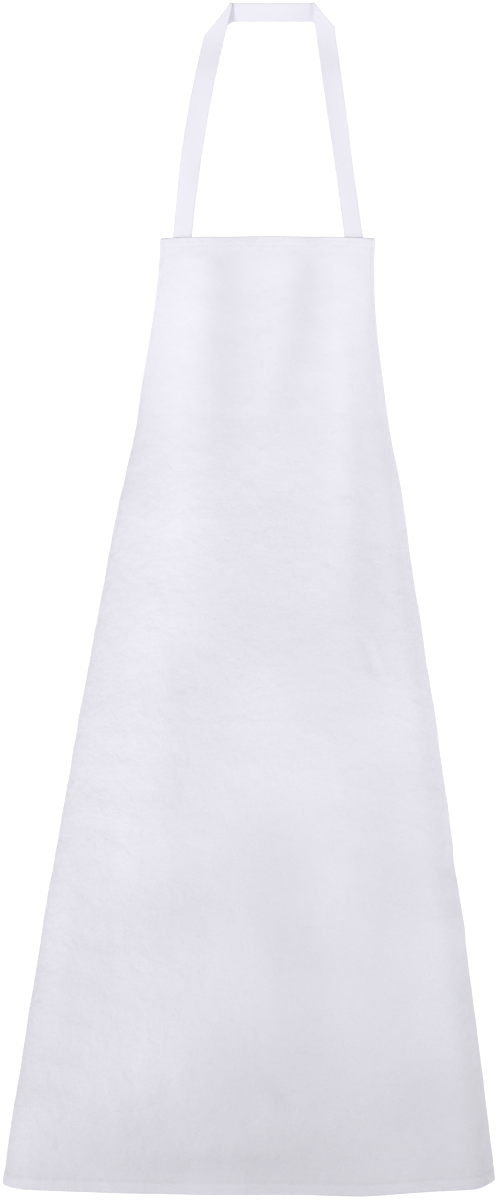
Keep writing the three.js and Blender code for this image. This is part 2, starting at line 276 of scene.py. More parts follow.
def hem_relief(along, drop):
    """The hems' double cloth stands out a little, and each stitch line is drawn in."""
    side = (half_cut(drop) - np.abs(along)) / across(1.0, drop)
    bands = (
        (side, EDGE_HEM, EDGE_HEM - STITCH_INSET),
        (drop, TOP_HEM, TOP_HEM - STITCH_INSET),
        (BODY_LENGTH - drop, BOTTOM_HEM, BOTTOM_HEM - STITCH_INSET),
    )
    total = 0
    for distance, hem, seam in bands:
        total = total + 0.45 * (1 - smooth(distance, seam, hem + 2.5))
        total = total - HEM_GROOVE * bell(distance, seam, 0.9)
    top = (1 - smooth(drop, 7, 17)) * smooth(drop, 0.5, 4)
    total = total + 0.16 * top * (mottle(along, drop, 9, 5, 9) + 0.6 * mottle(along, drop, 5, 6, 9))
    low = (1 - smooth(BODY_LENGTH - drop, 9, 22)) * smooth(BODY_LENGTH - drop, 0.5, 4)
    total = total + 0.16 * low * mottle(along, drop, 16, 15, 9)
    sides = (1 - smooth(side, 4, 12)) * smooth(side, 0.3, 2)
    return total + 0.13 * sides * mottle(drop, along * 0, 13, 16)


def cloth_point(along, drop, depth=0.0):
    """A point of the finished cloth: folds included, and the hem's corners as they hang."""
    along, drop, depth = np.broadcast_arrays(*(np.asarray(v, float) for v in (along, drop, depth)))
    point = surface(along, drop, depth - relief(along, drop))
    low = smooth(drop, 960, BODY_LENGTH)
    point[..., 2] += low * (
        4.6 * smooth(point[..., 0], 235, 262) - 3.0 * bell(point[..., 0], 106, 34)
    )
    return point


# ------------------------------------------------------------------ meshes
FAR_FROM_EDGE = 1000.0


def new_mesh(name, points, quads, smooth_faces=True):
    """A mesh object from points in mm."""
    mesh = bpy.data.meshes.new(name)
    quads = np.asarray(quads, np.int32)
    mesh.vertices.add(len(points))
    mesh.vertices.foreach_set("co", (np.asarray(points, float) * MM).astype(np.float32).ravel())
    mesh.loops.add(quads.size)
    mesh.loops.foreach_set("vertex_index", quads.ravel())
    mesh.polygons.add(len(quads))
    mesh.polygons.foreach_set("loop_start", np.arange(0, quads.size, 4, dtype=np.int32))
    mesh.update(calc_edges=True)
    mesh.validate()
    mesh.polygons.foreach_set("use_smooth", np.full(len(mesh.polygons), smooth_faces))
    obj = bpy.data.objects.new(name, mesh)
    bpy.context.scene.collection.objects.link(obj)
    return obj


def grid_quads(rows, columns, offset=0):
    index = np.arange(rows * columns).reshape(rows, columns) + offset
    corners = (index[:-1, :-1], index[1:, :-1], index[1:, 1:], index[:-1, 1:])
    return np.stack([c.ravel() for c in corners], -1)


def grid_solid(name, middle, thickness, flat=None, edge=None, painted_shade_depth=None):
    """A closed sheet round a grid of mid-surface points, mm. flat is the cloth coordinates."""
    rows, columns = middle.shape[:2]
    normal = np.cross(np.gradient(middle, axis=1), np.gradient(middle, axis=0))
    normal /= np.maximum(np.linalg.norm(normal, axis=-1, keepdims=True), 1e-9)
    half = np.broadcast_to(np.asarray(thickness, float), (rows, columns))[..., None] / 2
    faces = (middle - normal * half, middle + normal * half)
    points = np.concatenate([face.reshape(-1, 3) for face in faces])
    count = rows * columns
    outer = grid_quads(rows, columns)
    inner = grid_quads(rows, columns, count)[:, ::-1]
    index = np.arange(count).reshape(rows, columns)
    rim = np.concatenate([index[0], index[1:, -1], index[-1, -2::-1], index[-2:0:-1, 0]])
    after = np.roll(rim, -1)
    border = np.stack([rim, after, after + count, rim + count], -1)
    obj = new_mesh(name, points, np.concatenate([outer, inner, border]))
    if flat is None:
        rise = np.linalg.norm(np.diff(middle, axis=0), axis=-1).mean(1)
        run = np.linalg.norm(np.diff(middle, axis=1), axis=-1).mean(0)
        v, u = np.concatenate([[0], np.cumsum(rise)]), np.concatenate([[0], np.cumsum(run)])
        flat = np.stack(np.meshgrid(u, v), -1)
    both = np.concatenate([flat.reshape(-1, 2)] * 2) * MM
    layer = obj.data.uv_layers.new(name="cloth")
    loops = np.zeros(len(obj.data.loops), np.int32)
    obj.data.loops.foreach_get("vertex_index", loops)
    layer.data.foreach_set("uv", both[loops].astype(np.float32).ravel())
    distance = np.full(count, FAR_FROM_EDGE) if edge is None else edge.ravel()
    add_attribute(obj, "edge_mm", distance, distance)
    # painted shade and painted highlight per vertex, reversed on the inner face
    if painted_shade_depth is not None:
        add_attribute(obj, "painted_shade_mm", painted_shade_depth.ravel(), -painted_shade_depth.ravel())
    return obj


def add_attribute(obj, name, outer, inner):
    """A value at every vertex of a closed sheet, for its outer face and then its inner one."""
    attribute = obj.data.attributes.new(name, "FLOAT", "POINT")
    attribute.data.foreach_set("value", np.concatenate([outer, inner]).astype(np.float32))


# ------------------------------------------------------------------ the cloth with its turned hems
ROUND = np.linspace(0, math.pi, 8)[1:-1]  # steps round a turned edge
FRONT_STEPS = (0.6, 1.0, 1.7, 2.6, 3.6, 4.4, 5.0, 5.6, 6.3, 7.3, 8.6, 10.5)
BACK_STEPS = (0.9, 2.2, 4.0, 5.6, 6.6, 7.0)
FRONT_MIDDLE = CLOTH / 2
BACK_MIDDLE = FRONT_MIDDLE + 2 * HEM_FOLD  # the turned-in layers, drawn as one of double cloth
CORNER_MIDDLE = 2.7
INNER_COLUMNS = 170


def side_profile():
    """(distance from the finished edge, mid depth, thickness) outwards across one side hem."""
    front = [(d, FRONT_MIDDLE, CLOTH) for d in reversed(FRONT_STEPS)]
    turn = [
        (HEM_FOLD * (1 - math.sin(a)), FRONT_MIDDLE + HEM_FOLD * (1 - math.cos(a)),
         lerp(CLOTH, 2 * CLOTH - 0.1, a / math.pi))
        for a in ROUND
    ]
    back = [(d, BACK_MIDDLE, 2 * CLOTH - (0.5 if d == BACK_STEPS[-1] else 0.0)) for d in BACK_STEPS]
    return front + turn + back


def row_profile():
    """(drop, how far round a level hem's fold from 0 to pi, thickness) for each row of the cloth."""
    seam = TOP_HEM - STITCH_INSET
    top = [1.0, 2.2, 3.6, 5.2, 6.8, 8.2, 9.2, seam, 10.8, 11.8, 13.2, 15.2, 18, 21.5]
    bottom = [d * BOTTOM_HEM / TOP_HEM for d in top]
    even = np.concatenate([
        np.arange(25.5, 262, 4.4), np.arange(262, 306, 2.2), np.arange(306, BODY_LENGTH - 29, 4.6),
    ])
    lower = BODY_LENGTH - np.array(bottom[::-1])
    front = [(d, 0.0, None) for d in (HEM_FOLD, *top, *even, *lower, BODY_LENGTH - HEM_FOLD)]

    def back(hem):
        steps = (0.9, 2.5, 5, 0.75 * hem, hem - 0.5, hem)
        return [(d, math.pi, 2 * CLOTH - (0.5 if d == hem else 0.0)) for d in steps]

    turn = [(0.0, a, lerp(CLOTH, 2 * CLOTH - 0.1, a / math.pi)) for a in ROUND]
    start = [(d, a, t) for d, a, t in reversed(turn + back(TOP_HEM))]
    end = [(BODY_LENGTH - d, a, t) for d, a, t in turn + back(BOTTOM_HEM)]
    return start + front + end


def make_cloth():
    profile = side_profile()
    rows = row_profile()
    drop = np.array([r[0] for r in rows])[:, None]
    round_by = np.array([r[1] for r in rows])[:, None]
    level = np.array([np.nan if r[2] is None else r[2] for r in rows])[:, None]
    top_end = drop < BODY_LENGTH / 2
    at = np.clip(drop, 0, BODY_LENGTH)
    edge = half_cut(at)
    inner = edge - across(profile[0][0], at)
    shares = np.linspace(-1, 1, INNER_COLUMNS + 2)[1:-1]
    right = [edge - across(d, at) for d, _, _ in profile]
    along = np.hstack([-c for c in right[::-1]] + [inner * s for s in shares] + right)
    plain = [(FAR_FROM_EDGE, FRONT_MIDDLE, CLOTH)] * INNER_COLUMNS
    columns = profile[::-1] + plain + profile
    stack = np.array([c[1] for c in columns])[None, :]
    own = np.array([c[2] for c in columns])[None, :]
    inset = np.array([c[0] for c in columns])[None, :]
    # a level hem folds over the side hems: its turned layer lies further in near the corners
    reach = (edge - np.abs(along)) / across(1.0, at)
    behind = lerp(CORNER_MIDDLE, BACK_MIDDLE, smooth(reach, EDGE_HEM, EDGE_HEM + 6))
    behind = behind - 0.08 * (stack - FRONT_MIDDLE)
    radius = (behind - stack) / 2
    outer_radius = (behind + 0.08 * (stack - FRONT_MIDDLE) - FRONT_MIDDLE) / 2
    around = (1 - np.cos(round_by)) / 2
    depth = lerp(stack, behind, around)
    pulled = outer_radius - radius * np.sin(round_by)
    in_turn = (round_by > 0) & (round_by < math.pi - 1e-6)
    from_edge = np.where(in_turn, pulled, np.where(top_end, at, BODY_LENGTH - at))
    place = np.where(top_end, from_edge, BODY_LENGTH - from_edge)
    place = np.where(in_turn, place, at)
    thickness = np.where(np.isnan(level), own, np.where(stack > 1, CLOTH, level))
    middle = cloth_point(along, place, depth)
    past = np.where(stack > 1, inset, 0.0) * np.sign(along)
    mirrored = np.where(top_end, -place, 2 * BODY_LENGTH - place)
    beyond = np.where(round_by >= math.pi / 2, mirrored, place)
    flat = np.stack([along + 2 * past, beyond + 0 * along], -1)
    # painted shade: darker in the fold hollows, at the lower sides and along the bottom seam; painted
    # highlight: lighter on the fold ridges and on the bottom hem
    base = surface(along, place)
    painted_shade_depth = -broad_relief(base[..., 0], base[..., 2], place)
    # painted shade at the lower sides, where the cloth turns away from the light
    painted_shade_depth = painted_shade_depth + 4.5 * smooth(np.abs(along) / edge, 0.62, 0.80) * smooth(place, 620, 900)
    up = BODY_LENGTH - place
    # painted shade along the bottom seam line and painted highlight on the bottom hem
    painted_shade_depth = painted_shade_depth + 2.5 * bell(up, BOTTOM_HEM - STITCH_INSET, 1.2) - 3.0 * (1 - smooth(up, 10, 14))
    painted_shade_depth = painted_shade_depth * (around < 0.5)  # the front layer only
    return grid_solid("apron_cloth", middle, thickness, flat, edge_distance(along, place), painted_shade_depth)


# ------------------------------------------------------------------ stitches


def thread_tubes(name, lines, radius):
    """Short square-ended threads as one mesh: each line is an (n, 3) array, all with the same n."""
    sides = 4
    lines = np.asarray(lines, float)
    count, steps = lines.shape[:2]
    tangent = np.gradient(lines, axis=1)
    tangent /= np.maximum(np.linalg.norm(tangent, axis=-1, keepdims=True), 1e-9)
    reference = np.where(np.abs(tangent[..., 1:2]) < 0.8, [[[0.0, 1.0, 0.0]]], [[[1.0, 0.0, 0.0]]])
    across_a = np.cross(tangent, reference)
    across_a /= np.linalg.norm(across_a, axis=-1, keepdims=True)
    across_b = np.cross(tangent, across_a)
    taper = np.sqrt(np.clip(1 - np.linspace(-0.93, 0.93, steps) ** 4, 0.05, 1))[None, :, None]
    ring = [
        lines + radius * taper * (math.cos(a) * across_a + math.sin(a) * across_b)
        for a in np.arange(sides) * 2 * math.pi / sides
    ]
    points = np.stack(ring, 2).reshape(-1, 3)
    base = np.arange(count)[:, None, None] * steps * sides
    step = np.arange(steps - 1)[None, :, None] * sides
    k = np.arange(sides)[None, None, :]
    a, b = base + step + k, base + step + (k + 1) % sides
    tube = np.stack([a, b, b + sides, a + sides], -1).reshape(-1, 4)
    first = base[:, :, 0] + np.zeros((count, 1), int)
    last = first + (steps - 1) * sides
    start_cap = np.hstack([first, first + 3, first + 2, first + 1])
    end_cap = np.hstack([last, last + 1, last + 2, last + 3])
    return new_mesh(name, points, np.concatenate([tube, start_cap, end_cap]))


def seam(name, path, front_depth, back_depth):
    """Lockstitches along a line on the cloth: path is (along, drop) at even small steps."""
    path = np.asarray(path, float)
    at = cloth_point(path[:, 0], path[:, 1])
    run = np.concatenate([[0], np.cumsum(np.linalg.norm(np.diff(at, axis=0), axis=1))])
    count = max(int(run[-1] / STITCH_LENGTH), 1)
    pitch = run[-1] / count
    share = np.linspace(0, 1, 6)
    lines = []
    for depth, sign in ((front_depth, -1), (back_depth, 1)):
        starts = np.arange(count) * pitch + 0.5 * pitch * (sign > 0)
        first = starts[:, None] + (1 - STITCH_SHOWN) / 2 * pitch
        spots = first + share[None, :] * STITCH_SHOWN * pitch
        spots = np.minimum(spots, run[-1])
        along = np.interp(spots, run, path[:, 0])
        drop = np.interp(spots, run, path[:, 1])
        lift = depth + sign * (STITCH_RISE * np.sin(np.pi * share)[None, :] - STITCH_SINK)
        lines.append(cloth_point(along, drop, lift + 0 * along))
    return thread_tubes(name, np.concatenate(lines), THREAD_RADIUS)


# ------------------------------------------------------------------ tape
HALF_ACROSS = (0.2, 0.45, 0.7, 0.86, 0.93, 0.975, 1)
TAPE_ACROSS = np.array([*(-a for a in reversed(HALF_ACROSS)), 0, *HALF_ACROSS])
SELVEDGE = ((0, 0.86), (0.7, 0.86), (0.86, 0.92), (0.93, 0.92), (0.975, 0.74), (1, 0.4))  # mm thick


def tape_thickness(rows):
    """Woven tape: thick selvedges, and rounded sides."""
    profile = np.interp(np.abs(TAPE_ACROSS), *zip(*SELVEDGE))
    return np.tile(profile, (rows, 1))


def leg_line(side, heights):
    """How far up a neck leg the heights are, from 0 to 1, and where its middle line runs."""
    crown = surface(0, 0)[2] + 1.8
    share = np.clip((heights - crown) / (TAPE_WIDTH / 2 - crown), -0.02, 1)
    root_x = surface(side * STRAP_REACH, 0, TAB_MIDDLE)[0]
    centre = lerp(root_x, LEG_TOP_X[side], share)
    return share, centre + LEG_BOW[side] * np.sin(np.pi * np.clip(share, 0, 1))


def crease_ends(side):
    """(x, z) of the lower and upper end of the slanting crease at a leg's top."""
    top_z = TAPE_WIDTH / 2
    low_z = top_z - (LEFT_FOLD if side < 0 else RIGHT_FOLD)
    low_x = leg_line(side, low_z)[1] + side * LEG_HALF[side]
    return (low_x, low_z), (LEG_TOP_X[side] - side * (LEG_HALF[side] - FOLD_TIP), top_z)


def neck_leg(side):
    """One leg of the neck loop, folded over the nape tape along a slanting crease at its top."""
    (_, corner_z), (_, top_z) = crease_ends(side)
    root_z = -LOOP_HEIGHT - 0.3
    straight, folded = np.linspace(root_z, corner_z, 90), np.linspace(corner_z, top_z, 26)
    heights = np.concatenate([straight, folded[1:]])[:, None]
    share, centre = leg_line(side, heights)
    half = lerp(10.8, LEG_HALF[side], smooth(share, 0.05, 0.4))
    cut = np.maximum(heights - corner_z, 0) / (top_z - corner_z) * (2 * LEG_HALF[side] - FOLD_TIP)
    outs = -half + (side * TAPE_ACROSS[None, :] + 1) * half * (1 - cut / (2 * half))
    # the right leg turns on itself a little in its lower half
    twist = 0.36 * bell(share, 0.27, 0.2) if side > 0 else 0.16 * bell(share, 0.36, 0.1)
    root_y = surface(side * (STRAP_REACH + outs), 0, TAB_MIDDLE)[..., 1]
    y = lerp(root_y, -0.75, share) + outs * np.sin(twist) * side
    y = y + 0.5 * np.sin(2.3 * np.pi * share + side) * np.sin(np.pi * np.clip(share, 0, 1))
    y = y - 0.35 * (1 - (outs / half) ** 2) * np.sin(np.pi * np.clip(share, 0, 1)) ** 2
    # it bows back a little below its crease
    y = y + 2.2 * np.sin(np.pi * np.clip((1 - share) / 0.34, 0, 1)) ** 2
    x = centre + side * outs * np.cos(twist)
    middle = np.stack([x, y, heights + 0 * x], -1)[::-1]
    name = "tape_neck_" + ("left" if side < 0 else "right")
    return grid_solid(name, middle, tape_thickness(len(middle)), *tape_flat(middle))


def tape_flat(middle):
    """Cloth coordinates of a tape grid, and distance to its nearer selvedge."""
    rise = np.linalg.norm(np.diff(middle[:, 7], axis=0), axis=-1)
    v = np.concatenate([[0], np.cumsum(rise)])
    width = np.linalg.norm(middle - middle[:, 7:8], axis=-1) * np.sign(TAPE_ACROSS)[None, :]
    edge = TAPE_WIDTH / 2 * (1 - np.abs(TAPE_ACROSS))[None, :] + 0 * width
    return np.stack([width, v[:, None] + 0 * width], -1), edge


def nape_run():
    """The tape behind the neck, and its ends that fan out to the creases behind the legs."""
    half = TAPE_WIDTH / 2
    ups = -TAPE_ACROSS * half  # rows go from left to right, columns from top to bottom
    rows = []
    starts = []
    for side in (-1, 1):
        (low_x, low_z), (top_x, top_z) = crease_ends(side)
        straight_x = top_x - side * 2.6
        starts.append(straight_x)
        crease_top = np.array([top_x - side * 1.0, top_z])
        crease_low = np.array([low_x - side * 0.6, low_z])
        part = []
        for share in np.linspace(0, 1, 14):
            t = (half - ups) / TAPE_WIDTH
            end = crease_top[None, :] + (crease_low - crease_top)[None, :] * t[:, None]
            start = np.stack([np.full(len(ups), straight_x), ups], -1)
            both = lerp(start, end, share)
            depth = 0.45 + 0.3 * smooth(share, 0, 0.5)
            part.append(np.stack([both[:, 0], np.full(len(ups), depth), both[:, 1]], -1))
        rows.append(part[::-1] if side < 0 else part)
    middle_x = np.linspace(*starts, 34)[1:-1]
    middle = [np.stack([np.full(len(ups), x), 0.45 + 0 * ups, ups], -1) for x in middle_x]
    points = np.array(rows[0] + middle + rows[1]).transpose(1, 0, 2)
    thickness = tape_thickness(points.shape[1]).T
    run = np.concatenate([[0], np.cumsum(np.linalg.norm(np.diff(points[7], axis=0), axis=-1))])
    size = points.shape[:2]
    flat = np.stack([np.broadcast_to(ups[:, None], size), np.broadcast_to(run, size)], -1)
    edge = np.broadcast_to((half - np.abs(ups))[:, None], size)
    # the whole nape tape gets painted shade
    return grid_solid("tape_nape", points, thickness, flat, edge, np.full(size, NAPE_PAINTED_SHADE_DEPTH))


def fold_roll(side):
    """The rounded crease where a leg turns over into the nape tape."""
    low, top = (np.array(end, float) for end in crease_ends(side))
    out = np.array([side * (top - low)[1], -side * (top - low)[0]])
    out = out / np.linalg.norm(out)
    rows = []
    for angle in np.linspace(-0.5 * math.pi, 0.5 * math.pi, 11):
        reach, depth = 0.75 * math.cos(angle) - 0.2, 0.75 * math.sin(angle)
        flat = [lerp(low, top, share) + out * reach for share in np.linspace(0, 1, 24)]
        rows.append([[x, depth, z] for x, z in flat])
    points = np.array(rows)
    if side > 0:
        points = points[:, ::-1]
    return grid_solid("tape_fold_" + ("left" if side < 0 else "right"), points, 0.8)


def tab_on_cloth(name, centre_along, drops, side):
    """A sewn tape end lying flat on the inside of the cloth, upright."""
    rows = np.asarray(drops, float)
    along = side * centre_along + TAPE_ACROSS * TAPE_WIDTH / 2
    middle = surface(along[None, :], np.maximum(rows, 0)[:, None], TAB_MIDDLE - 0 * rows[:, None])
    middle[..., 2] = -LOOP_HEIGHT - rows[:, None]
    lift = relief(along[None, :], np.maximum(rows, 0.5)[:, None]) * smooth(rows, 0, 8)[:, None]
    middle[..., 1] -= lift
    thickness = tape_thickness(len(rows)) - 0.08
    thickness[-1] -= 0.3
    thickness[0] -= 0.3
    return grid_solid(name, middle, thickness, *tape_flat(middle))


def bartack(name, ends, depth, width, place):
    """A dense zigzag bar of thread between two points (along, drop)."""
    start, end = (np.array(p, float) for p in ends)
    run = end - start
    length = np.linalg.norm(run)
    side = np.array([-run[1], run[0]]) / length * width / 2
    count = int(length / TACK_PITCH)
    share = np.linspace(0, 1, 6)
    lines = []
    for i in range(count):
        a = start + run * (i + 0.1) / count + side * (1 if i % 2 else -1)
        b = start + run * (i + 0.9) / count - side * (1 if i % 2 else -1)
        spot = a[None, :] + (b - a)[None, :] * share[:, None]
        lines.append(place(spot[:, 0], spot[:, 1], depth + 0.2 * np.sin(np.pi * share)))
    return thread_tubes(name, lines, TACK_RADIUS)


def tie_place(side):
    """Upper outer corner of a tie, at the tape's middle depth."""
    drop = WAIST_DROP + TIE_DROP
    return surface(side * half_cut(drop), drop, TAB_MIDDLE)


def waist_tie(side):
    """A tie: it leaves its sewn end level, turns down along a slanting crease and hangs limp."""
    corner = tie_place(side)
    base_y = corner[1] + TAPE_THICKNESS + 0.3
    below = TAPE_WIDTH + np.array([0.7, 1.5, 2.5])
    bend = np.linspace(26, 116, 46)
    free = np.linspace(bend[-1], TIE_LENGTH, 133)[1:]
    lengths = np.concatenate([np.linspace(0, TAPE_WIDTH, 17), below, bend, free])[:, None]
    share = lengths / TIE_LENGTH
    half = TAPE_WIDTH / 2
    # the upper rows reach out to the end of the sewn part, and in only as far as the crease
    drop = WAIST_DROP + TIE_DROP + np.minimum(lengths, TAPE_WIDTH)
    tab_end = surface(side * (half_cut(drop) - 0.8), drop, TAB_MIDDLE)
    joined = 1 - smooth(lengths, TAPE_WIDTH, TAPE_WIDTH + 2.5)
    outer = joined * side * (tab_end[..., 0] - corner[0])
    inner = np.minimum(lengths + 1.0, TAPE_WIDTH)
    outward = (1 + side * TAPE_ACROSS[None, :]) / 2
    x = side * (lerp(-inner, outer, outward) + half)
    y = base_y + (tab_end[..., 1] - base_y) * joined * outward**3
    hang = smooth(share, 0.035, 0.2)
    turn = side * 0.30 * np.sin(2.1 * math.pi * share + 0.4) * hang
    sway_x = 2.4 * np.sin(1.7 * math.pi * share + side) * hang
    sway_y = 2.0 * np.sin(2.4 * math.pi * share) * hang
    px = corner[0] - side * half + x * np.cos(turn) + sway_x
    py = y + x * np.sin(turn) + sway_y + 0.25 * (1 - (x / half) ** 2) * hang
    pz = corner[2] - lengths + 0 * px
    middle = np.stack([px, py, pz], -1)
    name = "tape_tie_" + ("left" if side < 0 else "right")
    thickness = tape_thickness(len(lengths))
    return grid_solid(name, middle, thickness, *tape_flat(middle)), middle


def tie_end(side, middle):
    """The turned-up end of a tie, and the stitches across it."""
    rows = middle[-14:]
    word = "left" if side < 0 else "right"
    back = rows.copy()
    back[..., 1] += TAPE_THICKNESS + TAPE_GAP
    keep = np.linalg.norm(back[:, 7] - back[-1, 7], axis=-1) <= 10.5
    back = back[keep]
    fold = back[-1].copy()
    fold[:, 1] -= (TAPE_THICKNESS + TAPE_GAP) / 2
    fold[:, 2] -= 0.45
    hem = grid_solid("tape_tie_hem_" + word, np.concatenate([back, fold[None]]), 0.8)
    line = middle[-9]
    spots = np.linspace(-0.86, 0.86, 8)
    lines = []
    for i in range(7):
        share = np.linspace(0.12, 0.88, 6)
        across_at = lerp(spots[i], spots[i + 1], share)
        point = np.stack([np.interp(across_at, TAPE_ACROSS, line[:, k]) for k in range(3)], -1)
        for sign, off in ((-1, 0.42), (1, TAPE_THICKNESS + TAPE_GAP + 0.42)):
            moved = point.copy()
            moved[:, 1] += sign * (off + 0.18 * np.sin(np.pi * np.linspace(0, 1, 6)))
            lines.append(moved)
    stitches = thread_tubes("stitches_tie_end_" + word, lines, TACK_RADIUS)
    return hem, stitches


def tie_tab(side):
    """The sewn end of a tie, level on the inside of the waist corner."""
    drop = WAIST_DROP + TIE_DROP + TAPE_WIDTH / 2 + TAPE_ACROSS * TAPE_WIDTH / 2
    insets = np.concatenate([[1.0, 1.6, 2.6], np.linspace(4.5, TIE_TAB - 2, 13), [TIE_TAB - 0.7, TIE_TAB]])
    along = side * (half_cut(drop)[None, :] - across(1.0, drop[None, :] + 6) * insets[:, None])
    middle = surface(along, drop[None, :] + 0 * along, TAB_MIDDLE)
    if side > 0:
        middle = middle[::-1]
    middle = middle.transpose(1, 0, 2)
    thickness = tape_thickness(middle.shape[1]).T
    name = "tape_tie_tab_" + ("left" if side < 0 else "right")
    run = np.concatenate([[0], np.cumsum(np.linalg.norm(np.diff(middle[7], axis=0), axis=-1))])
    wide = np.broadcast_to((drop - drop.mean())[:, None], middle.shape[:2])
    flat = np.stack([wide, np.broadcast_to(run, middle.shape[:2])], -1)
    return grid_solid(name, middle, thickness, flat, TAPE_WIDTH / 2 - np.abs(wide))


# ------------------------------------------------------------------ materials


class Nodes:
    """Short calls for a material's node tree."""

    def __init__(self, name):
        self.material = bpy.data.materials.new(name)
        self.material.use_nodes = True
        self.tree = self.material.node_tree
        self.tree.nodes.clear()

    def add(self, kind, inputs=None, **settings):
        node = self.tree.nodes.new(kind)
        for key, value in settings.items():
            setattr(node, key, value)
        for key, value in (inputs or {}).items():
            if isinstance(value, bpy.types.NodeSocket):
                self.tree.links.new(value, node.inputs[key])
            else:
                node.inputs[key].default_value = value
        return node

    def math(self, operation, a, b=0.0):
        return self.add("ShaderNodeMath", {0: a, 1: b}, operation=operation).outputs[0]

    def noise(self, vector, scale, more=None):
        inputs = {"Vector": vector, "Scale": scale, "Detail": 2.0, **(more or {})}
        return self.add("ShaderNodeTexNoise", inputs).outputs[0]

    def attribute(self, name):
        return self.add("ShaderNodeAttribute", attribute_name=name).outputs["Fac"]

    def ranged(self, value, source, target, **settings):
        ends = zip(("From Min", "From Max", "To Min", "To Max"), (*source, *target))
        return self.add("ShaderNodeMapRange", {"Value": value, **dict(ends)}, **settings).outputs[0]

    def blend(self, factor, a, b):
        node = self.add("ShaderNodeMix", data_type="RGBA")
        for index, value in ((0, factor), (6, a), (7, b)):
            if isinstance(value, bpy.types.NodeSocket):
                self.tree.links.new(value, node.inputs[index])
            else:
                node.inputs[index].default_value = value
        return node.outputs[2]

    def bump(self, height, distance, strength, normal=None):
        inputs = {"Height": height, "Distance": distance, "Strength": strength}
        if normal is not None:
            inputs["Normal"] = normal
        return self.add("ShaderNodeBump", inputs).outputs[0]


def woven(name, colour, shade, ends, picks, twill, weave_depth, crumple, slub, painted_edge_shade):
    """Woven cotton: ends and picks are threads for each metre, twill the slant of its line."""
    n = Nodes(name)
    uv = n.add("ShaderNodeUVMap", uv_map="cloth").outputs[0]
    parts = n.add("ShaderNodeSeparateXYZ", {0: uv})
    u, v = parts.outputs[0], parts.outputs[1]
    two_pi = 2 * math.pi
    warp = n.math("SINE", n.math("MULTIPLY", u, two_pi * ends))
    weft = n.math("SINE", n.math("MULTIPLY", v, two_pi * picks))
    slant_u = n.math("MULTIPLY", u, two_pi * ends * twill)
    slant_v = n.math("MULTIPLY", v, two_pi * picks * twill)
    line = n.math("SINE", n.math("ADD", slant_u, slant_v))
    plain = n.math("MULTIPLY", n.math("ADD", warp, weft), 0.22)
    weave = n.math("ADD", plain, n.math("MULTIPLY", line, 0.45))
    stretched = n.add("ShaderNodeMapping", {"Vector": uv, "Scale": (900, 60, 1)}).outputs[0]
    crossing = n.add("ShaderNodeMapping", {"Vector": uv, "Scale": (60, 900, 1)}).outputs[0]
    threads = n.noise(stretched, 1.0)
    slubs = n.noise(crossing, 1.0)
    wrinkle = n.noise(uv, 70.0, {"Detail": 3.0, "Roughness": 0.55})
    coarse = n.noise(uv, 16.0)
    uneven = n.math("MULTIPLY", n.math("ADD", threads, slubs), 0.5)
    near = n.ranged(n.attribute("edge_mm"), (0.2, 1.6), (1.0, 0.0))
    tint = n.math("MULTIPLY", n.math("SUBTRACT", uneven, 0.5), slub)
    patch = n.math("MULTIPLY", n.math("SUBTRACT", coarse, 0.5), 0.5)
    factor = n.math("ADD", n.math("ADD", 0.35, tint), patch)
    base = n.blend(n.add("ShaderNodeClamp", {0: factor}).outputs[0], colour, shade)
    # painted shade: darker within 1.6 mm of a finished edge or selvedge
    dark = (*(0.72 * c for c in shade[:3]), 1)
    base = n.blend(n.math("MULTIPLY", near, painted_edge_shade), base, dark)
    # painted shade in hollows, at the lower sides, on the bottom seam and on the nape tape; painted
    # highlight on ridges and the bottom hem
    painted_shade_depth = n.attribute("painted_shade_mm")
    painted_shade_scale = n.ranged(painted_shade_depth, (-PAINTED_SHADE_DEPTH, PAINTED_SHADE_DEPTH), (1 + PAINTED_SHADE_SHARE, 1 - PAINTED_SHADE_SHARE), clamp=False)
    base = n.add("ShaderNodeVectorMath", {0: base, 1: painted_shade_scale}, operation="MULTIPLY").outputs[0]
    crumpled = n.ranged(v, (0.1, 0.6), (0.32, 0.72))  # more so lower down
    normal = n.bump(wrinkle, crumple, crumpled)
    normal = n.bump(uneven, crumple * 0.11, 0.7, normal)
    normal = n.bump(weave, weave_depth, 0.7, normal)
    surface_node = n.add("ShaderNodeBsdfPrincipled", {
        "Base Color": base, "Roughness": 0.88, "Normal": normal, "Specular IOR Level": 0.25,
        "Sheen Weight": 0.12, "Sheen Roughness": 0.5,
    })
    n.add("ShaderNodeOutputMaterial", {"Surface": surface_node.outputs[0]})
    return n.material


def twisted_thread(name, colour, shade):
    """Cotton thread: fine plies across its length."""
    n = Nodes(name)
    place = n.add("ShaderNodeTexCoord").outputs["Object"]
    noise = n.noise(place, 2600.0)
    base = n.blend(noise, colour, shade)
    normal = n.bump(noise, 0.00012, 0.6)
    surface_node = n.add("ShaderNodeBsdfPrincipled", {
        "Base Color": base, "Roughness": 0.7, "Normal": normal, "Specular IOR Level": 0.3,
        "Sheen Weight": 0.1,
    })
    n.add("ShaderNodeOutputMaterial", {"Surface": surface_node.outputs[0]})
    return n.material


CLOTH_LOOK = woven(
    "drill_cloth", (0.775, 0.767, 0.830, 1), (0.74, 0.732, 0.797, 1),
    ends=1500, picks=1100, twill=0.5, weave_depth=0.00005, crumple=0.0034, slub=0.5, painted_edge_shade=0.10,
)
TAPE_LOOK = woven(
    "cotton_tape", (0.935, 0.922, 0.995, 1), (0.895, 0.882, 0.96, 1),
    ends=1250, picks=900, twill=0.5, weave_depth=0.00005, crumple=0.0007, slub=0.4, painted_edge_shade=0.30,
)
THREAD_LOOK = twisted_thread("sewing_thread", (0.84, 0.833, 0.88, 1), (0.78, 0.773, 0.825, 1))

